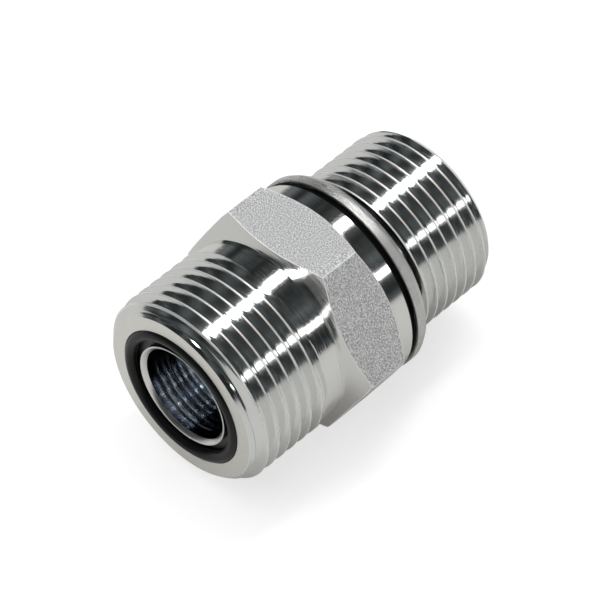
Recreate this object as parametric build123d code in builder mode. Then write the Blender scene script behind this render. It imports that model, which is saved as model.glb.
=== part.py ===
from build123d import *
from math import asin, atan2, cos, degrees, hypot, radians, sin, tan
import os

os.makedirs("parts", exist_ok=True)

# Lengths of the stretches along the fitting, from the sealing face to the end of the stud
face_thread_length = 14.0
neck_length = 3.6
hexagon_length = 9.9
collar_length = 2.8
stud_length = 19.7

# Hexagon bar, and how far each turned surface steps in from its flats
across_flats = 32.0
face_thread_step = 0.92
neck_step = 1.25
collar_step = 0.2
stud_step = 2.5

# Hexagon corners: chamfers measured from the face plane, and a shallow land beside each corner edge
front_chamfer_angle = 27.0
rear_chamfer_angle = 34.0
corner_land_width = 1.8
corner_land_angle = 4.0

# Right-hand 60 degree threads, whose grooves pass the top a little before their own stretch begins
thread_root_share = 17 / 24
thread_sharp_share = 7 / 8
face_thread_pitch = 25.4 / 12
face_thread_lead = 1.65
face_thread_run_out = 0.48
stud_thread_pitch = 2.0
stud_thread_lead = 1.24

# Sealing face, from the thread inwards to the bore
face_chamfer = 1.68
face_land_width = 2.3
face_groove_width = 2.85
face_o_ring_section = 1.78
face_o_ring_proud = 0.48
lip_width = 0.75
lip_recess = 0.25
lip_chamfer = 0.55

# Stud end
stud_chamfer = 1.3
stud_mouth_chamfer = 0.8
undercut_depth = 1.3
stud_o_ring_section = 2.4

# Retaining ring
ring_gap = 1.0
ring_rim = 0.4
ring_back = 0.4
ring_chamfer_length = 0.8
ring_chamfer_depth = 0.45

# Thread cutter: its reach past the crest as a share of the pitch, and the quarter turn that lifts it out
groove_mouth_share = 0.1
fade_overlap = 2.0
fade_past_crest = 1.15

# Fitted O-rings are a little flatter towards the axis than along it
o_ring_flattening = 0.01

# Clearances
rubber_clearance = 0.02
ring_clearance = 0.1
undercut_clearance = 0.3
cut_clearance = 1.0

# Places along the fitting, from the sealing face
neck_end = face_thread_length + neck_length
hexagon_end = neck_end + hexagon_length
collar_end = hexagon_end + collar_length
overall_length = collar_end + stud_length

# Radii
flat_distance = across_flats / 2
thread_radius = flat_distance - face_thread_step
neck_radius = flat_distance - neck_step
collar_radius = flat_distance - collar_step
stud_radius = flat_distance - stud_step
undercut_radius = stud_radius - undercut_depth
land_radius = thread_radius - face_chamfer
groove_radius = land_radius - face_land_width
lip_radius = groove_radius - face_groove_width
bore_radius = lip_radius - lip_width

# The fitting lies on a flat of its hexagon, with its middle over the origin
axis_height = flat_distance
face_x = (face_o_ring_proud - overall_length) / 2
fitting_axis = Axis((0, 0, axis_height), (1, 0, 0))
section_plane = Plane(origin=(face_x, 0, axis_height), x_dir=(1, 0, 0), z_dir=(0, -1, 0))

# Corner lands, which pull each corner in a little
land_start = flat_distance * tan(radians(30)) - corner_land_width
land_fall = tan(radians(corner_land_angle))
corner_distance = (flat_distance + land_start * land_fall) / (1 + tan(radians(30)) * land_fall)
corner_radius = corner_distance / cos(radians(30))


def hexagon_points():
    """Outline of the bar with a flat on top: each flat, then the corner between its land and the next."""
    points = []
    for flat in range(6):
        middle = radians(90 + 60 * flat)
        for side in (-1, 1):
            turn = middle + atan2(side * land_start, flat_distance)
            reach = hypot(land_start, flat_distance)
            points.append((reach * cos(turn), axis_height + reach * sin(turn)))
        corner = middle + radians(30)
        points.append((corner_radius * cos(corner), axis_height + corner_radius * sin(corner)))
    return points


# Cones that chamfer the hexagon, carried past its corners
rim_radius = corner_radius + cut_clearance
front_rim = neck_end + (rim_radius - neck_radius) * tan(radians(front_chamfer_angle))
rear_rim = hexagon_end - (rim_radius - flat_distance) * tan(radians(rear_chamfer_angle))
collar_start = hexagon_end + collar_step * tan(radians(rear_chamfer_angle))

# Face groove, as deep as leaves its O-ring proud of the face
face_groove_depth = face_o_ring_section + rubber_clearance - face_o_ring_proud
face_o_ring_radius = face_o_ring_section / 2
face_o_ring_centre = (face_groove_depth - rubber_clearance - face_o_ring_radius,
                      groove_radius - rubber_clearance - face_o_ring_radius)

# Stud O-ring in the corner of undercut and collar, and the retaining ring's cone tangent to it
stud_o_ring_radius = stud_o_ring_section / 2
stud_o_ring_centre = (collar_end + rubber_clearance + stud_o_ring_radius,
                      undercut_radius + rubber_clearance + stud_o_ring_radius)
ring_start = collar_end + ring_gap
ring_bore_radius = stud_radius + ring_clearance
seat_radius = flat_distance - ring_rim
seat_to_centre = (stud_o_ring_centre[0] - ring_start, seat_radius - stud_o_ring_centre[1])
seat_angle = (asin((stud_o_ring_radius + rubber_clearance) / hypot(*seat_to_centre))
              + atan2(*seat_to_centre))
seat_end = ring_start + (seat_radius - ring_bore_radius) * tan(seat_angle)
ring_end = seat_end + ring_back
undercut_end = ring_end + undercut_clearance
stud_start = undercut_end + undercut_depth


def thread_depth(pitch, share):
    """Depth below the crest, as a share of the height of a sharp 60 degree profile."""
    return share * pitch * cos(radians(30))


def thread_groove(crest_radius, pitch, start, length, cone_angle=0, turn=0):
    """Thread groove from start, straight above the axis, then turned; a cone angle lifts it outwards."""
    root_depth = thread_depth(pitch, thread_root_share)
    sharp_depth = thread_depth(pitch, thread_sharp_share)
    mouth = groove_mouth_share * pitch
    root_half = (sharp_depth - root_depth) * tan(radians(30))
    mouth_half = (sharp_depth + mouth) * tan(radians(30))
    with BuildPart() as groove:
        with BuildLine() as path:
            Helix(pitch / cos(radians(cone_angle)), length, crest_radius,
                  center=(face_x + start, 0, axis_height), direction=(1, 0, 0), cone_angle=cone_angle)
        with BuildSketch(Plane(origin=path.line @ 0, x_dir=(0, 0, 1), z_dir=path.line % 0)):
            Polygon((-root_depth, -root_half), (-root_depth, root_half),
                    (mouth, mouth_half), (mouth, -mouth_half), align=None)
        sweep(path=path.line, is_frenet=True)
    return groove.part.rotate(fitting_axis, turn)


# Face thread: full depth nearly to the neck, then out over a quarter turn
full_depth_length = face_thread_lead + face_thread_length - face_thread_run_out
fade_start = full_depth_length - face_thread_pitch * fade_overlap / 360
fade_rise = fade_past_crest * thread_depth(face_thread_pitch, thread_root_share)
fade_angle = degrees(atan2(fade_rise, face_thread_pitch / 4))
face_thread = thread_groove(thread_radius, face_thread_pitch, -face_thread_lead, full_depth_length)
face_thread_fade = thread_groove(thread_radius, face_thread_pitch, fade_start - face_thread_lead,
                                 face_thread_pitch / 4, fade_angle, 360 * fade_start / face_thread_pitch)

# Stud thread, from the undercut to past the end
stud_thread_start = undercut_end - stud_thread_lead
stud_thread = thread_groove(stud_radius, stud_thread_pitch, stud_thread_start,
                            overall_length + stud_thread_pitch - stud_thread_start)

with BuildPart() as body:
    # Hexagon bar with both ends chamfered
    with BuildSketch(Plane.YZ.offset(face_x + neck_end)):
        Polygon(*hexagon_points(), align=None)
    extrude(amount=collar_start - neck_end)
    with BuildSketch(section_plane):
        Polygon((neck_end, 0), (neck_end, neck_radius), (front_rim, rim_radius), (rear_rim, rim_radius),
                (collar_start, collar_radius), (collar_start, 0), align=None)
    revolve(axis=fitting_axis, mode=Mode.INTERSECT)

    # Turned thread blank, neck, collar, undercut and stud
    with BuildSketch(section_plane):
        Polygon((0, 0), (0, land_radius), (face_chamfer, thread_radius), (face_thread_length, thread_radius),
                (face_thread_length, neck_radius), (neck_end, neck_radius), (neck_end, 0), align=None)
        Polygon((collar_start, 0), (collar_start, collar_radius), (collar_end, collar_radius),
                (collar_end, undercut_radius), (undercut_end, undercut_radius), (stud_start, stud_radius),
                (overall_length - stud_chamfer, stud_radius),
                (overall_length, stud_radius - stud_chamfer), (overall_length, 0), align=None)
    revolve(axis=fitting_axis)

    # Threads
    add(face_thread, mode=Mode.SUBTRACT)
    add(face_thread_fade, mode=Mode.SUBTRACT)
    add(stud_thread, mode=Mode.SUBTRACT)

    # Groove in the sealing face, and the bore through its lip and out of the stud
    with BuildSketch(section_plane):
        Polygon((-cut_clearance, lip_radius), (-cut_clearance, groove_radius),
                (face_groove_depth, groove_radius), (face_groove_depth, lip_radius), align=None)
        Polygon((-cut_clearance, 0), (-cut_clearance, lip_radius), (lip_recess, lip_radius),
                (lip_recess, bore_radius + lip_chamfer), (lip_recess + lip_chamfer, bore_radius),
                (overall_length - stud_mouth_chamfer, bore_radius),
                (overall_length + cut_clearance, bore_radius + stud_mouth_chamfer + cut_clearance),
                (overall_length + cut_clearance, 0), align=None)
    revolve(axis=fitting_axis, mode=Mode.SUBTRACT)

body.part.label = "body"
export_step(body.part, "parts/body.step")

with BuildPart() as face_seal_o_ring:
    with BuildSketch(section_plane):
        with Locations(face_o_ring_centre):
            Ellipse(face_o_ring_radius, face_o_ring_radius * (1 - o_ring_flattening))
    revolve(axis=fitting_axis)

face_seal_o_ring.part.label = "face_seal_o_ring"
export_step(face_seal_o_ring.part, "parts/face_seal_o_ring.step")

with BuildPart() as stud_o_ring:
    with BuildSketch(section_plane):
        with Locations(stud_o_ring_centre):
            Ellipse(stud_o_ring_radius, stud_o_ring_radius * (1 - o_ring_flattening))
    revolve(axis=fitting_axis)

stud_o_ring.part.label = "stud_o_ring"
export_step(stud_o_ring.part, "parts/stud_o_ring.step")

with BuildPart() as retaining_ring:
    with BuildSketch(section_plane):
        Polygon((ring_start, seat_radius), (ring_start, flat_distance),
                (ring_end - ring_chamfer_length, flat_distance),
                (ring_end, flat_distance - ring_chamfer_depth), (ring_end, ring_bore_radius),
                (seat_end, ring_bore_radius), align=None)
    revolve(axis=fitting_axis)

retaining_ring.part.label = "retaining_ring"
export_step(retaining_ring.part, "parts/retaining_ring.step")
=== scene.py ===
from math import atan, cos, degrees, pi, radians, sin, tan
from typing import NamedTuple

import bmesh
import bpy
import numpy as np
from mathutils import Matrix, Vector


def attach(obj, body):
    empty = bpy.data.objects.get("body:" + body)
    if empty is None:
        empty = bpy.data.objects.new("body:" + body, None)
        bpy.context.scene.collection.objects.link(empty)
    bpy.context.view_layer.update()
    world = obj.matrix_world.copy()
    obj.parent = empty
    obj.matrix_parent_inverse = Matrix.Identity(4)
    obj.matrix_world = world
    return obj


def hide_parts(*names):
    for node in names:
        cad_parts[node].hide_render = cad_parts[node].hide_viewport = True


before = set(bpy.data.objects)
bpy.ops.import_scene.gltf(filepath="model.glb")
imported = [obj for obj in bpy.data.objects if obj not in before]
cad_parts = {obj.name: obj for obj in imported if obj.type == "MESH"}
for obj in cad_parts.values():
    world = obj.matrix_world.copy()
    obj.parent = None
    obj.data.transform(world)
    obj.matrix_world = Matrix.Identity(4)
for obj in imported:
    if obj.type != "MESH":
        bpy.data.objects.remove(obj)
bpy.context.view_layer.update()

# Sizes are in millimetres. s runs along the fitting from its sealing face, r is a radius, and phi is in
# degrees round the axis, from the top towards -Y.
MM_PER_M = 1000

# Lengths, and the places that follow from them
FACE_THREAD_LENGTH = 14.0
NECK_LENGTH = 3.6
HEXAGON_LENGTH = 9.9
COLLAR_LENGTH = 2.8
STUD_LENGTH = 19.7
O_RING_PROUD = 0.48
NECK_END = FACE_THREAD_LENGTH + NECK_LENGTH
HEXAGON_END = NECK_END + HEXAGON_LENGTH
COLLAR_END = HEXAGON_END + COLLAR_LENGTH
FITTING_END = COLLAR_END + STUD_LENGTH
FACE_X = (O_RING_PROUD - FITTING_END) / 2

# Hexagon, its two chamfer cones, and the shallow land beside each corner
FLAT = 16.0
AXIS_Z = FLAT
FRONT_SLOPE = tan(radians(27))
REAR_SLOPE = tan(radians(34))
LAND_START = FLAT * tan(radians(30)) - 1.8
LAND_FALL = tan(radians(4))

# Fine bevels on the hexagon's rims, and the angles where a corner's own bevel begins and ends
RIM_BACK = 0.04
RIM_ON = 0.07
FRONT_RIM_DROP = 0.08
REAR_RIM_DROP = 0.05
BEVEL_FROM = 29.78
BEVEL_TO = 30.22

# Radii of the turned surfaces
COLLAR_R = 15.8
NECK_R = 14.75
UNDERCUT_R = 12.2
STUD_END_R = 12.2
FACE_EDGE_R = 13.4
GROOVE_R = 11.1
LIP_R = 8.25
BORE_R = 7.5

# Neck foot, and the fine turned line between the rear cone and the collar
FOOT_S = 0.02
FOOT_R = 0.03
NECK_FOOT = (NECK_END + FOOT_S, NECK_R + FOOT_R)
CONE_FOOT_S = 27.6
CONE_FOOT_R = 15.85
LINE_START = 27.64
LINE_END = 27.72
LINE_R = 15.74
COLLAR_START = 27.76
COLLAR_BREAK = 0.09
SHOULDER_ROW_R = 14.6
UNDERCUT_BREAK = 0.1
UNDERCUT_ROW = 32.0

# Sealing face, its groove and the lip round the bore, whose inner and outer edges are rounded
GROOVE_DEPTH = 1.32
GROOVE_ROW_R = 9.6
GROOVE_BREAK = 0.05
LIP_RECESS = 0.25
LIP_WALL = 0.4
LIP_INNER_R = 8.03
LIP_FLAT_INNER_R = 8.08
LIP_FLAT_OUTER_R = 8.21
LIP_INNER_BREAK = 0.02
LIP_OUTER_BREAK = 0.03
MOUTH_START = 0.78
MOUTH_END = 0.86
MOUTH_STEP = 0.03

# Tool ridges in the first part of the bore, and the chamfered mouth at its far end
RIDGE_PITCH = 1.1
RIDGE_START = 1.6
RIDGE_END = 24.0
RIDGE_DEPTH = 0.08
STUD_MOUTH = 0.8
STUD_MOUTH_OUTER_R = 8.37
STUD_MOUTH_INNER_R = 8.26
STUD_MOUTH_BREAK = 0.07

# Retaining ring: its length, the cone of its seat, its rim and the rear chamfer, all with broken edges
RING_START = 31.3
RING_END = 33.354
RING_SEAT = 1.65441
RING_R = 16.0
RING_SEAT_R = 15.64
RING_BACK_R = 15.5
RING_ROW_R = 14.6
RING_BORE_R = 13.6
RING_BREAK = 0.07
RING_BORE_BREAK = 0.05
RING_CHAMFER_START = 32.50
RING_CHAMFER_EDGE = (32.60, 15.97)
RING_CHAMFER_FOOT = (33.28, 15.58)
RING_BORE_EDGE = 33.3
UNDERCUT_END = RING_END + 0.3

# O-rings: the middle of each section as (s, r), and its radius
FACE_O_RING_MIDDLE = (0.41, 10.19)
FACE_O_RING_RADIUS = 0.8895
STUD_O_RING_MIDDLE = (31.52, 13.42)
STUD_O_RING_RADIUS = 1.2


class Thread(NamedTuple):
    """Right-hand 60 degree thread; groove is the s of a groove's middle at THREAD_PHI."""

    crest: float
    root: float
    pitch: float
    groove: float


FACE_THREAD = Thread(crest=15.08, root=13.78, pitch=25.4 / 12, groove=2.76)
STUD_THREAD = Thread(crest=13.5, root=12.27, pitch=2.0, groove=36.58)
THREAD_PHI = 30
FLANK_ANGLE = radians(30)
FLANK_SLOPE = tan(FLANK_ANGLE)
ROOT_ROUND = 0.1445
CREST_EDGE = 0.05
CREST_DROP = 0.9

# The face thread's run-out: the turn at which it starts, how far it turns, and its rise in thread depths
RUN_OUT_START = 1860.0
RUN_OUT_TURN = 90
RUN_OUT_RISE = 1.15


def hexagon_r(phi):
    """Radius of the hexagon's outline at phi, with its corner lands."""
    from_middle = np.abs((np.asarray(phi, float) + 30) % 60 - 30)
    along = np.tan(np.radians(from_middle))
    on_flat = FLAT / np.cos(np.radians(from_middle))
    land_distance = (FLAT + LAND_START * LAND_FALL) / (1 + along * LAND_FALL)
    on_land = land_distance / np.cos(np.radians(from_middle))
    return np.where(along * FLAT > LAND_START, np.minimum(on_flat, on_land), on_flat)


def thread_r(s, phi, thread):
    """Radius of a thread with round roots, and the turn in degrees of the groove nearest to s and phi."""
    grooves = (s - thread.groove - thread.pitch * (phi - THREAD_PHI) / 360) / thread.pitch
    nearest = np.round(grooves)
    off = np.abs(grooves - nearest) * thread.pitch
    round_r = ROOT_ROUND * thread.pitch
    apex = thread.root - round_r
    flank = apex + off / FLANK_SLOPE
    arc = thread.root + round_r - np.sqrt(np.maximum(round_r ** 2 - off ** 2, 0))
    r = np.where(off < round_r * cos(FLANK_ANGLE), arc, flank)

    # The crest's edges are rounded over a few hundredths
    top = (thread.crest - apex) * FLANK_SLOPE
    over = np.clip((off - (top - CREST_EDGE)) / (2 * CREST_EDGE), 0, 1)
    low = thread.crest - CREST_EDGE * CREST_DROP
    rounded = low + (thread.crest - low) * (1 - (1 - over) ** 2)
    r = np.where(off > top - CREST_EDGE, np.minimum(r, rounded), r)
    r = np.where(off > top + CREST_EDGE, thread.crest, r)
    return r, phi + 360 * nearest


def face_end_r(s, phi):
    """Face end: chamfer, thread with its run-out, then the neck."""
    blank = np.where(s <= FACE_THREAD_LENGTH, FACE_THREAD.crest, NECK_R)
    r, turn = thread_r(s, phi, FACE_THREAD)
    depth = FACE_THREAD.crest - FACE_THREAD.root
    r = r + np.clip((turn - RUN_OUT_START) / RUN_OUT_TURN, 0, 1) * RUN_OUT_RISE * depth
    return np.minimum(np.minimum(r, blank), FACE_EDGE_R + s)


def stud_r(s, phi):
    """Stud: run-in cone, thread, end chamfer."""
    r, _ = thread_r(s, phi, STUD_THREAD)
    cones = np.minimum(UNDERCUT_R + (s - UNDERCUT_END), STUD_END_R + (FITTING_END - s))
    return np.minimum(r, np.minimum(STUD_THREAD.crest, cones))


# Columns of the body's mesh
COLUMN_STEP = 2.0
COLUMN_ROOM = 0.8


def column_angles():
    """Angles of the columns: even steps, and exact ones at the corner bevels and the land edges."""
    land_angle = degrees(atan(LAND_START / FLAT))
    exact = []
    for corner in range(6):
        exact += [60 * corner + BEVEL_FROM, 60 * corner + BEVEL_TO]
        exact += [60 * corner + land_angle, 60 * corner + 60 - land_angle]
    exact = np.array(sorted(angle % 360 for angle in exact))
    even = np.arange(0, 360, COLUMN_STEP)
    room = np.abs((even[:, None] - exact[None, :] + 180) % 360 - 180).min(1)
    return np.array(sorted(list(even[room > COLUMN_ROOM]) + list(exact)))


PHI = column_angles()
COLUMNS = len(PHI)
CORNER_COLUMNS = np.abs(PHI % 60 - BEVEL_FROM) < 0.01


def place(s, r, phi):
    """Points in millimetres, in the frame of the fitting lying on a flat."""
    a = np.radians(phi)
    return np.stack([FACE_X + s + 0 * a, -r * np.sin(a), AXIS_Z + r * np.cos(a)], -1)


def zone_of(zone, row, column):
    """A zone's name, or the name that its rows or columns give."""
    return zone(row, column) if callable(zone) else zone


# Rows across half a groove: shares of the root's radius, of the flank, then places beside the crest's edge
ROOT_ROWS = (0.25, 0.5, 0.70, 0.866)
LOW_FLANK_SHARE = 0.33
LOW_FLANK_LIFT = 0.13
HIGH_FLANK_SHARE = 0.72
CREST_ROWS = (-0.05, -0.02, 0.01, 0.05)
CREST_REACH = 0.03


class Skin:
    """Points, faces and the zone of each face, on rings that all have the columns PHI."""

    def __init__(self):
        self.points = []
        self.faces = []
        self.zones = []

    def add_rows(self, rows, shift, zone):
        """Join rings of points; a helix has moved on by shift rows when it has gone once round."""
        first = len(self.points)
        for ring in rows:
            self.points.extend(ring)
        last = len(rows) - 1
        for column in range(COLUMNS):
            for row in range(last):
                a = first + row * COLUMNS + column
                b = a + COLUMNS
                if column < COLUMNS - 1:
                    face = (a, b, b + 1, a + 1)
                else:
                    near = min(row + shift, last)
                    far = min(row + 1 + shift, last)
                    face = (a, b, first + far * COLUMNS)
                    if near != far:
                        face += (first + near * COLUMNS,)
                self.faces.append(face)
                self.zones.append(zone_of(zone, row, column))

    def add_thread(self, thread, start, end, radius, zone):
        """A stretch of thread, with its rows laid along the helix and cut off at start and end."""
        round_r = ROOT_ROUND * thread.pitch
        apex = thread.root - round_r
        top = (thread.crest - apex) * FLANK_SLOPE
        half = [share * round_r for share in ROOT_ROWS]
        half += [LOW_FLANK_SHARE * top + LOW_FLANK_LIFT, HIGH_FLANK_SHARE * top]
        half += [top + step for step in CREST_ROWS]
        offsets = sorted([-thread.pitch / 2] + [-off for off in half] + [0.0] + half)
        first_groove = int(np.floor((start - thread.groove) / thread.pitch)) - 2
        last_groove = int(np.ceil((end - thread.groove) / thread.pitch)) + 2
        rows = []
        for groove in range(first_groove, last_groove):
            for off in offsets:
                lead = thread.groove + thread.pitch * (PHI - THREAD_PHI) / 360
                s = np.clip(lead + groove * thread.pitch + off, start, end)
                rows.append(place(s, radius(s, PHI), PHI))
        beyond = [abs(off) > top - CREST_REACH for off in offsets + [-thread.pitch / 2]]
        on_crest = [here and after for here, after in zip(beyond, beyond[1:])]
        turn = len(offsets)
        self.add_rows(rows, turn, lambda row, column: "crest" if on_crest[row % turn] else zone)

    def add_rings(self, rings, zone):
        """Plain rings: each is (s, r), both numbers or arrays over the columns."""
        rows = [place(np.zeros(COLUMNS) + s, np.zeros(COLUMNS) + r, PHI) for s, r in rings]
        self.add_rows(rows, 0, zone)


# Rows along each stretch: steps past the face thread, shares of the cones and flats, places along the
# collar and bore, shares of a ridge, and radii across the stud's end and the sealing face
FADE_ROWS = (0.0, 0.04, 0.15, 0.3, 0.45, 0.6, 0.8, 1.0, 1.3)
PLAIN_ROWS = (1.9, 2.5, 3.1, 3.52)
FRONT_CONE_ROWS = (0.2, 0.5, 0.8)
FLAT_ROWS = (0, 0.16, 0.33, 0.5, 0.67, 0.84, 1)
REAR_CONE_ROWS = (0.3, 0.65, 1)
COLLAR_ROWS = (28.6, 29.4)
STUD_END_ROWS = (11.2, 9.6)
BORE_ROWS = (44, 38, 32, 28, 25)
RIDGE_ROWS = (1.0, 0.82, 0.5, 0.18)
FACE_ROWS = (11.6, 12.2, 12.8)


def add_face_end(skin):
    """Face thread, then the neck into which the last groove runs out."""
    skin.add_thread(FACE_THREAD, 0.0, FACE_THREAD_LENGTH, face_end_r, "thread")
    rings = []
    for step in FADE_ROWS:
        s = FACE_THREAD_LENGTH + step
        rings.append((s, face_end_r(np.zeros(COLUMNS) + s, PHI)))
    rings += [(FACE_THREAD_LENGTH + step, NECK_R) for step in PLAIN_ROWS]
    rings += [(NECK_END - FOOT_S, NECK_R - FOOT_R), NECK_FOOT]
    skin.add_rings(rings, "neck")


def add_hexagon(skin):
    """Hexagon between its two cones, with a fine bevel on every edge."""
    h = hexagon_r(PHI)
    s_front = NECK_END + (h - NECK_R) * FRONT_SLOPE
    s_rear = HEXAGON_END - (h - FLAT) * REAR_SLOPE
    front_rim = (s_front - RIM_BACK, h - FRONT_RIM_DROP)
    rear_rim = (s_rear + RIM_BACK, h - REAR_RIM_DROP)
    flat_start = s_front + RIM_ON
    flat_length = s_rear - s_front - 2 * RIM_ON
    front_cone = [(NECK_END + (h - NECK_R) * f * FRONT_SLOPE, NECK_R + (h - NECK_R) * f)
                  for f in FRONT_CONE_ROWS]
    flats = [(flat_start + flat_length * f, h) for f in FLAT_ROWS]
    rear_cone = [(s_rear + (CONE_FOOT_S - s_rear) * f, h - (h - CONE_FOOT_R) * f) for f in REAR_CONE_ROWS]
    skin.add_rings([NECK_FOOT, *front_cone, front_rim], "cone")
    # The bevels take the edge material, whose near-white colour is a painted highlight on the hexagon's
    # edges.
    skin.add_rings([front_rim, (flat_start, h)], "edge")
    skin.add_rings(flats, lambda row, column: "edge" if CORNER_COLUMNS[column] else "flat")
    skin.add_rings([(s_rear - RIM_ON, h), rear_rim], "edge")
    skin.add_rings([rear_rim, *rear_cone], "cone")


def add_collar(skin):
    """Fine turned line, collar and undercut."""
    line = [(CONE_FOOT_S, CONE_FOOT_R), (LINE_START, LINE_R), (LINE_END, LINE_R)]
    collar = [(s, COLLAR_R) for s in (COLLAR_START, *COLLAR_ROWS, COLLAR_END - COLLAR_BREAK)]
    shoulder_rows = (COLLAR_R - COLLAR_BREAK, SHOULDER_ROW_R, UNDERCUT_R + UNDERCUT_BREAK)
    shoulder = [(COLLAR_END, r) for r in shoulder_rows]
    undercut = [(s, UNDERCUT_R) for s in (COLLAR_END + UNDERCUT_BREAK, UNDERCUT_ROW, UNDERCUT_END)]
    skin.add_rings(line + collar + shoulder + undercut, "turned")


def add_stud(skin):
    """Stud thread, end face and the bore's chamfered mouth."""
    skin.add_thread(STUD_THREAD, UNDERCUT_END, FITTING_END, stud_r, "thread")
    end_face = [(FITTING_END, r) for r in (STUD_END_R, *STUD_END_ROWS, STUD_MOUTH_OUTER_R)]
    mouth = [(FITTING_END - STUD_MOUTH_BREAK, STUD_MOUTH_INNER_R), (FITTING_END - STUD_MOUTH, BORE_R)]
    skin.add_rings(end_face + mouth, "face")


def add_bore(skin):
    """Bore from the stud end to the lip, with shallow tool ridges in its first part."""
    rings = [(FITTING_END - STUD_MOUTH, BORE_R)]
    rings += [(s, BORE_R) for s in BORE_ROWS]
    for ridge in range(int((RIDGE_END - RIDGE_START) / RIDGE_PITCH), 0, -1):
        start = RIDGE_START + (ridge - 1) * RIDGE_PITCH
        depth = RIDGE_DEPTH * (1 + 0.35 * sin(3.1 * ridge) + 0.2 * sin(1.3 * ridge))
        for f in RIDGE_ROWS:
            rings.append((start + f * RIDGE_PITCH, BORE_R + depth * (1 - (2 * f - 1) ** 2)))
    rings += [(RIDGE_START, BORE_R), (MOUTH_END, BORE_R)]
    skin.add_rings(rings, "bore")


def add_sealing_face(skin):
    """Lip round the bore, groove of the O-ring and the flat face."""
    mouth = [(MOUTH_END, BORE_R), (MOUTH_START, BORE_R + MOUTH_STEP)]
    lip_inside = [(LIP_RECESS + LIP_INNER_BREAK, LIP_INNER_R), (LIP_RECESS, LIP_FLAT_INNER_R)]
    lip_outside = [(LIP_RECESS, LIP_FLAT_OUTER_R), (LIP_RECESS + LIP_OUTER_BREAK, LIP_R), (LIP_WALL, LIP_R)]
    skin.add_rings(mouth + lip_inside + lip_outside, "lip")
    floor_of_groove = [(GROOVE_DEPTH, r) for r in (LIP_R, GROOVE_ROW_R, GROOVE_R)]
    # The groove's walls and floor take a dark grey material, which is painted shade in the deep groove.
    skin.add_rings([(LIP_WALL, LIP_R), *floor_of_groove, (GROOVE_BREAK, GROOVE_R)], "groove")
    face_start = GROOVE_R + GROOVE_BREAK
    skin.add_rings([(GROOVE_BREAK, GROOVE_R), (0.0, face_start)], "lip")
    skin.add_rings([(0.0, r) for r in (face_start, *FACE_ROWS, FACE_EDGE_R)], "face")


# Meshes: points nearer than MERGE metres are one, and steeper folds than these degrees are sharp
MERGE = 2e-7
SHARP_FOLD = 26
SHARP_FOLD_ACROSS_ZONES = 9
RING_COLUMNS = 256
SECTION_POINTS = 28


def make_mesh(name, points, faces, material_indices):
    """A closed mesh from millimetre points: merged, with its normals out and its sharp edges marked."""
    mesh = bpy.data.meshes.new(name)
    mesh.from_pydata([tuple(point) for point in np.asarray(points) / MM_PER_M], [], faces)
    bm = bmesh.new()
    bm.from_mesh(mesh)
    bm.faces.ensure_lookup_table()
    for face, index in zip(bm.faces, material_indices):
        face.material_index = index
        face.smooth = True
    bmesh.ops.remove_doubles(bm, verts=bm.verts, dist=MERGE)
    bmesh.ops.dissolve_degenerate(bm, edges=bm.edges, dist=MERGE)
    bmesh.ops.recalc_face_normals(bm, faces=bm.faces)
    for edge in bm.edges:
        if len(edge.link_faces) != 2:
            continue
        one, other = edge.link_faces
        across_zones = one.material_index != other.material_index
        if edge.calc_face_angle(0) > radians(SHARP_FOLD_ACROSS_ZONES if across_zones else SHARP_FOLD):
            edge.smooth = False
    bm.to_mesh(mesh)
    bm.free()
    obj = bpy.data.objects.new(name, mesh)
    bpy.context.scene.collection.objects.link(obj)
    return obj


def ring_mesh(name, outline):
    """A closed outline of (s, r) points, revolved round the fitting's axis."""
    phi = np.arange(RING_COLUMNS) * 360 / RING_COLUMNS
    level = np.zeros(RING_COLUMNS)
    points = np.concatenate([place(level + s, level + r, phi) for s, r in outline])
    faces = []
    for row in range(len(outline)):
        a = row * RING_COLUMNS
        b = (row + 1) % len(outline) * RING_COLUMNS
        for column in range(RING_COLUMNS):
            after = (column + 1) % RING_COLUMNS
            faces.append((a + column, b + column, b + after, a + after))
    return make_mesh(name, points, faces, [0] * len(faces))


def round_section(middle, radius):
    """Outline of a round section about its middle (s, r)."""
    s, r = middle
    turns = [2 * pi * k / SECTION_POINTS for k in range(SECTION_POINTS)]
    return [(s + radius * cos(turn), r + radius * sin(turn)) for turn in turns]


# Materials. Scales are per metre, and heights of bumps in metres.
MARK_STRETCH = 60
MARK_HEIGHT = 0.00007
GRAIN_SCALE = 5000.0
GRAIN_HEIGHT = 0.0002
RUBBER_SCALE = 2500.0
RUBBER_HEIGHT = 0.00002


def new_material(name):
    """A material, its node tree and its Principled node."""
    material = bpy.data.materials.new(name)
    material.use_nodes = True
    tree = material.node_tree
    return material, tree, tree.nodes["Principled BSDF"]


def add_node(tree, kind, **inputs):
    """A shader node with the inputs set that are named, with _ for a space."""
    node = tree.nodes.new("ShaderNode" + kind)
    for name, value in inputs.items():
        node.inputs[name.replace("_", " ")].default_value = value
    return node


def turning_marks(tree, coords, strength, width):
    """Bump of rings round the axis, about as wide as width in millimetres."""
    mapping = add_node(tree, "Mapping", Scale=(1 / (width / MM_PER_M), MARK_STRETCH, MARK_STRETCH))
    noise = add_node(tree, "TexNoise", Scale=1.0, Detail=3.0)
    bump = add_node(tree, "Bump", Strength=strength, Distance=MARK_HEIGHT)
    tree.links.new(coords.outputs["Object"], mapping.inputs["Vector"])
    tree.links.new(mapping.outputs["Vector"], noise.inputs["Vector"])
    tree.links.new(noise.outputs["Fac"], bump.inputs["Height"])
    return bump


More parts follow.
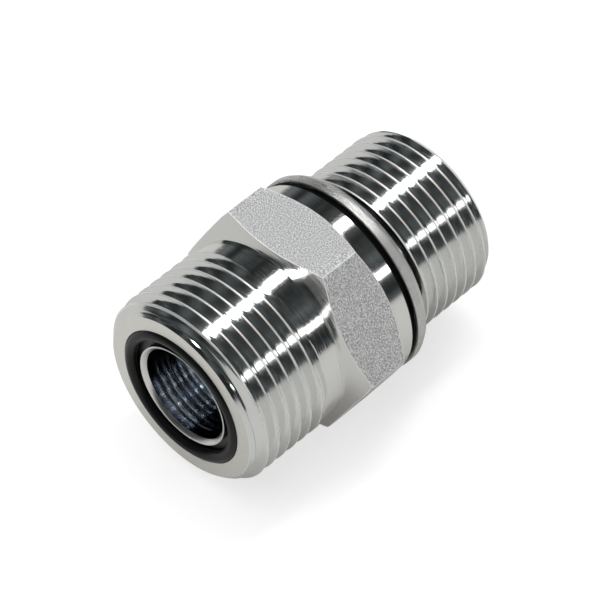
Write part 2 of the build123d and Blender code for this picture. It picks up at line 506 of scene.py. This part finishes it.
def speckle(tree, bsdf, coords, below, strength, colour, patch):
    """Even grain over the bump below it; patch is how much its low places darken the colour."""
    noise = add_node(tree, "TexNoise", Scale=GRAIN_SCALE, Detail=2.0)
    bump = add_node(tree, "Bump", Strength=strength, Distance=GRAIN_HEIGHT)
    tree.links.new(coords.outputs["Object"], noise.inputs["Vector"])
    tree.links.new(noise.outputs["Fac"], bump.inputs["Height"])
    if below:
        tree.links.new(below.outputs["Normal"], bump.inputs["Normal"])
    ramp = add_node(tree, "MapRange", From_Min=0.4, From_Max=0.6, To_Min=1.0 - patch, To_Max=1.0)
    tree.links.new(noise.outputs["Fac"], ramp.inputs["Value"])
    mix = add_node(tree, "Mix")
    mix.data_type = "RGBA"
    mix.blend_type = "MULTIPLY"
    mix.inputs["Factor"].default_value = 1.0
    mix.inputs["A"].default_value = (*colour, 1)
    tree.links.new(ramp.outputs["Result"], mix.inputs["B"])
    tree.links.new(mix.outputs["Result"], bsdf.inputs["Base Color"])
    return bump


def zinc(name, rough, colour, metal=1.0, marks=0.0, mark_width=0.1, grain=0.0, patch=0.0):
    """Bright zinc plate, with turning marks and a speckle where they are asked for."""
    material, tree, bsdf = new_material(name)
    bsdf.inputs["Metallic"].default_value = metal
    bsdf.inputs["Base Color"].default_value = (*colour, 1)
    bsdf.inputs["Roughness"].default_value = rough
    coords = add_node(tree, "TexCoord")
    bump = None
    if marks:
        bump = turning_marks(tree, coords, marks, mark_width)
    if grain:
        bump = speckle(tree, bsdf, coords, bump, grain, colour, patch)
    if bump:
        tree.links.new(bump.outputs["Normal"], bsdf.inputs["Normal"])
    return material


def rubber(name):
    """Black nitrile rubber with a fine even skin."""
    material, tree, bsdf = new_material(name)
    bsdf.inputs["Base Color"].default_value = (0.006, 0.006, 0.007, 1)
    bsdf.inputs["Roughness"].default_value = 0.32
    bsdf.inputs["Specular IOR Level"].default_value = 0.3
    coords = add_node(tree, "TexCoord")
    noise = add_node(tree, "TexNoise", Scale=RUBBER_SCALE, Detail=3.0)
    bump = add_node(tree, "Bump", Strength=0.2, Distance=RUBBER_HEIGHT)
    tree.links.new(coords.outputs["Object"], noise.inputs["Vector"])
    tree.links.new(noise.outputs["Fac"], bump.inputs["Height"])
    tree.links.new(bump.outputs["Normal"], bsdf.inputs["Normal"])
    return material


def body_materials():
    """The material of each zone of the body."""
    return {
        "crest": zinc("zinc_crest", 0.42, (0.93, 0.93, 0.92), metal=0.7),
        "thread": zinc("zinc_thread", 0.11, (0.84, 0.85, 0.84), marks=0.4, mark_width=0.25),
        "neck": zinc("zinc_neck", 0.10, (0.86, 0.86, 0.84), marks=0.6, mark_width=0.3),
        "cone": zinc("zinc_cone", 0.10, (0.80, 0.80, 0.78), marks=0.3, mark_width=0.3),
        # Edge bevels: the near-white, hardly metallic colour is a painted highlight standing in for bright
        # lines along the hexagon's edges.
        "edge": zinc("zinc_edge_painted_highlight", 0.5, (0.98, 0.98, 0.97), metal=0.1),
        "flat": zinc("zinc_flat", 0.42, (0.97, 0.97, 0.97), metal=0.5, grain=1.0, patch=0.55),
        "turned": zinc("zinc_turned", 0.11, (0.86, 0.86, 0.84), marks=0.15),
        "face": zinc("zinc_face", 0.34, (0.95, 0.94, 0.90), grain=0.1, patch=0.06),
        # Bore: darker and bluer than the other zinc; the darkening is painted shade inside the bore.
        "bore": zinc("zinc_bore_painted_shade", 0.10, (0.68, 0.72, 0.77), marks=0.08),
        "lip": zinc("zinc_lip", 0.3, (0.93, 0.93, 0.91), grain=0.1),
        # Groove: its dark grey colour is painted shade inside the deep O-ring groove.
        "groove": zinc("zinc_groove_painted_shade", 0.5, (0.16, 0.16, 0.16), grain=0.1),
    }


# Body
skin = Skin()
add_face_end(skin)
add_hexagon(skin)
add_collar(skin)
add_stud(skin)
add_bore(skin)
add_sealing_face(skin)
materials = body_materials()
zone_names = list(materials)
body = make_mesh("fitting_body", skin.points, skin.faces, [zone_names.index(zone) for zone in skin.zones])
for material in materials.values():
    body.data.materials.append(material)
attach(body, "root")
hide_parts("body")

# O-rings
nitrile = rubber("nitrile")

face_ring = ring_mesh("seal_ring", round_section(FACE_O_RING_MIDDLE, FACE_O_RING_RADIUS))
face_ring.data.materials.append(nitrile)
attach(face_ring, "root")
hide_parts("face_seal_o_ring")

stud_ring = ring_mesh("stud_seal_ring", round_section(STUD_O_RING_MIDDLE, STUD_O_RING_RADIUS))
stud_ring.data.materials.append(nitrile)
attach(stud_ring, "root")
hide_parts("stud_o_ring")

# Retaining ring: rim, rear chamfer, back face, then the bore and the cone against the O-ring
rim = [(RING_START, RING_SEAT_R), (RING_START, RING_R - RING_BREAK), (RING_START + RING_BREAK, RING_R)]
rear_chamfer = [(RING_CHAMFER_START, RING_R), RING_CHAMFER_EDGE, RING_CHAMFER_FOOT]
back_face = [(RING_END, r) for r in (RING_BACK_R, RING_ROW_R, RING_BORE_R + RING_BORE_BREAK)]
bore_and_seat = [(RING_BORE_EDGE, RING_BORE_R), (RING_START + RING_SEAT, RING_BORE_R),
                 (RING_START + RING_SEAT / 2, RING_ROW_R)]
backing = ring_mesh("backing_ring", rim + rear_chamfer + back_face + bore_and_seat)
backing.data.materials.append(
    zinc("zinc_ring", 0.26, (0.84, 0.84, 0.82), metal=0.85, marks=0.3, grain=0.6, patch=0.3))
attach(backing, "root")
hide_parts("retaining_ring")

# Studio: places and lamp sizes in metres, lamp powers in watts
FLOOR_HALF = 4
FLOOR_Z = -0.00002
CAMERA_GLOW = 1.38
REFLECTED_GLOW = 0.3
GLOW_SHARE = 0.5
TOWARDS_TOP = (0.467, 0.070, 0.881)
TOWARDS_SIDE = (0.467, -0.765, 0.444)
TOWARDS_KEY = (-0.20, 0.30, 0.93)


def add_floor():
    """Pale floor that keeps the shadow."""
    corners = [(x * FLOOR_HALF, y * FLOOR_HALF, FLOOR_Z) for x, y in ((-1, -1), (1, -1), (1, 1), (-1, 1))]
    mesh = bpy.data.meshes.new("floor")
    mesh.from_pydata(corners, [], [(0, 1, 2, 3)])
    mesh.materials.append(floor_material())
    floor = bpy.data.objects.new("floor", mesh)
    bpy.context.scene.collection.objects.link(floor)


def floor_material():
    """White where the camera sees it and cream where metal mirrors it, half of it from its own glow."""
    material, tree, bsdf = new_material("floor_white")
    bsdf.inputs["Base Color"].default_value = (0.85, 0.85, 0.84, 1)
    bsdf.inputs["Roughness"].default_value = 1.0
    bsdf.inputs["Specular IOR Level"].default_value = 0.0
    glow = add_node(tree, "Emission", Strength=CAMERA_GLOW)
    cream = add_node(tree, "Emission", Color=(1.0, 0.965, 0.91, 1), Strength=REFLECTED_GLOW)
    path = add_node(tree, "LightPath")
    seen = add_node(tree, "Math")
    seen.operation = "ADD"
    share = add_node(tree, "Math")
    share.operation = "MULTIPLY"
    share.inputs[1].default_value = GLOW_SHARE
    pick = add_node(tree, "MixShader")
    mix = add_node(tree, "MixShader")
    tree.links.new(path.outputs["Is Camera Ray"], seen.inputs[0])
    tree.links.new(path.outputs["Is Glossy Ray"], seen.inputs[1])
    tree.links.new(seen.outputs[0], share.inputs[0])
    tree.links.new(path.outputs["Is Camera Ray"], pick.inputs[0])
    tree.links.new(cream.outputs[0], pick.inputs[1])
    tree.links.new(glow.outputs[0], pick.inputs[2])
    tree.links.new(share.outputs[0], mix.inputs[0])
    tree.links.new(bsdf.outputs[0], mix.inputs[1])
    tree.links.new(pick.outputs[0], mix.inputs[2])
    tree.links.new(mix.outputs[0], tree.nodes["Material Output"].inputs[0])
    return material


def add_world():
    """Dark room with soft lighter patches for the metal to mirror, white to the camera."""
    world = bpy.data.worlds.new("studio")
    bpy.context.scene.world = world
    world.use_nodes = True
    tree = world.node_tree
    room = tree.nodes["Background"]
    room.inputs["Color"].default_value = (0.028, 0.031, 0.032, 1)
    coords = add_node(tree, "TexCoord")
    patches = add_node(tree, "TexNoise", Scale=3.5)
    level = add_node(tree, "MapRange", From_Min=0.45, From_Max=0.7, To_Min=0.6, To_Max=5.0)
    white = add_node(tree, "Background", Color=(1, 1, 1, 1))
    path = add_node(tree, "LightPath")
    mix = add_node(tree, "MixShader")
    tree.links.new(coords.outputs["Generated"], patches.inputs["Vector"])
    tree.links.new(patches.outputs["Fac"], level.inputs["Value"])
    tree.links.new(level.outputs["Result"], room.inputs["Strength"])
    tree.links.new(path.outputs["Is Camera Ray"], mix.inputs[0])
    tree.links.new(room.outputs[0], mix.inputs[1])
    tree.links.new(white.outputs[0], mix.inputs[2])
    tree.links.new(mix.outputs[0], tree.nodes["World Output"].inputs[0])


def facing(right, up, back, at):
    """World matrix of a lamp or camera from its three axes and its place."""
    return Matrix((
        (right.x, up.x, back.x, at[0]),
        (right.y, up.y, back.y, at[1]),
        (right.z, up.z, back.z, at[2]),
        (0, 0, 0, 1)))


def softbox(name, direction, distance, width, length, power):
    """An area lamp that faces the fitting, its length along the fitting."""
    lamp = bpy.data.lights.new(name, "AREA")
    lamp.shape = "RECTANGLE"
    lamp.size = width
    lamp.size_y = length
    lamp.energy = power
    obj = bpy.data.objects.new(name, lamp)
    bpy.context.scene.collection.objects.link(obj)
    back = Vector(direction).normalized()
    along = Vector((1, 0, 0))
    up = (along - back * along.dot(back)).normalized()
    at = (back.x * distance, back.y * distance, back.z * distance + AXIS_Z / MM_PER_M)
    obj.matrix_world = facing(up.cross(back), up, back, at)
    return obj


add_floor()
add_world()
softbox("box_top", TOWARDS_TOP, distance=0.8, width=0.11, length=0.8, power=2.7)
softbox("box_side", TOWARDS_SIDE, distance=0.8, width=0.09, length=0.8, power=0.7)
key = softbox("box_key", TOWARDS_KEY, distance=0.9, width=1.5, length=1.5, power=11.0)
key.visible_glossy = False

# Camera: angles in degrees, distance and target in millimetres
CAMERA_AZIMUTH = -44.2309
CAMERA_ELEVATION = 48.0036
CAMERA_ROLL = -2.1536
CAMERA_DISTANCE = 546.798
TARGET_RIGHT = 16.5907
TARGET_UP = 13.5232
PIXELS_PER_MM = 7.20708
IMAGE_WIDTH = 600
SENSOR_WIDTH = 36.0


def add_camera():
    """The camera, aimed at a target beside the middle of the sealing face."""
    data = bpy.data.cameras.new("camera")
    camera = bpy.data.objects.new("camera", data)
    bpy.context.scene.collection.objects.link(camera)
    bpy.context.scene.camera = camera
    azimuth = radians(CAMERA_AZIMUTH)
    elevation = radians(CAMERA_ELEVATION)
    roll = radians(CAMERA_ROLL)
    back = Vector((sin(azimuth) * cos(elevation), -cos(azimuth) * cos(elevation), sin(elevation)))
    level = Vector((0, 0, 1)).cross(back).normalized()
    upright = back.cross(level)
    right = cos(roll) * level + sin(roll) * upright
    up = -sin(roll) * level + cos(roll) * upright
    target = right * TARGET_RIGHT + up * TARGET_UP + Vector((FACE_X, 0, AXIS_Z))
    eye = (target + back * CAMERA_DISTANCE) / MM_PER_M
    camera.matrix_world = facing(right, up, back, eye)
    data.sensor_width = SENSOR_WIDTH
    data.lens = PIXELS_PER_MM * CAMERA_DISTANCE / IMAGE_WIDTH * SENSOR_WIDTH
    data.clip_start = 0.01
    data.clip_end = 20


add_camera()
bpy.context.scene.view_settings.view_transform = "Standard"
